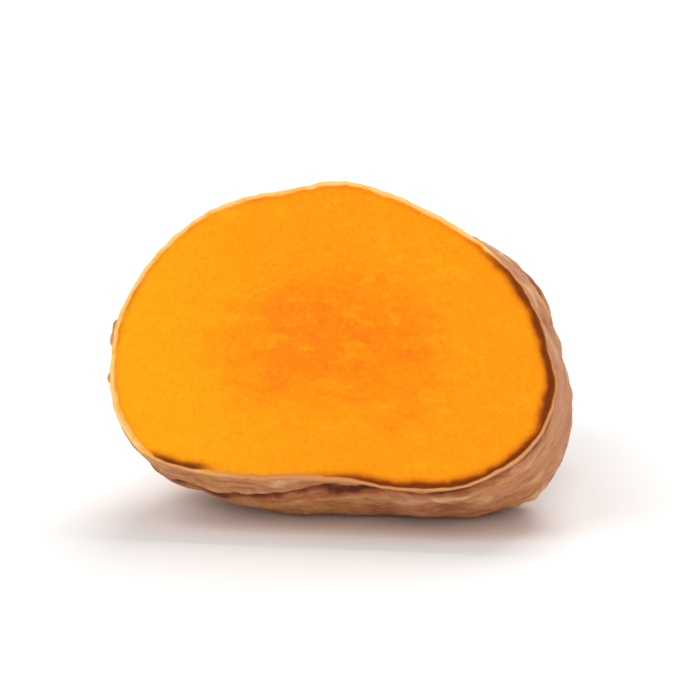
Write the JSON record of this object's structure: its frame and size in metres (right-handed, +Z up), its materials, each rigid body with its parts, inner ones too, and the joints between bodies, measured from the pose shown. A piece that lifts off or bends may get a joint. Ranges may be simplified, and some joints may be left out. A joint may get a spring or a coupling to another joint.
{
  "type": "cut turmeric root",
  "caption": "Cut end of a turmeric root lying on its underside: a flat, bright orange cut face that leans back, tan ringed skin, and a blunt grown tip behind.",
  "frame": {"origin": "middle of the footprint, on the surface that the root lies on", "axes": "+Z up; +Y from the cut face back towards the grown tip; +X across the cut face, to the right for someone looking at the cut"},
  "size_m": [0.0342, 0.0386, 0.0253],
  "materials": {
    "skin": "thin, dry, slightly silky tan skin, with darker brown rings and pale flaking edges",
    "flesh": "freshly cut, moist, bright orange flesh, deeper orange in the middle, with a thin cream rim under the skin"
  },
  "bodies": {
    "root": {"turmeric_root": "skin"}
  },
  "joints": []
}
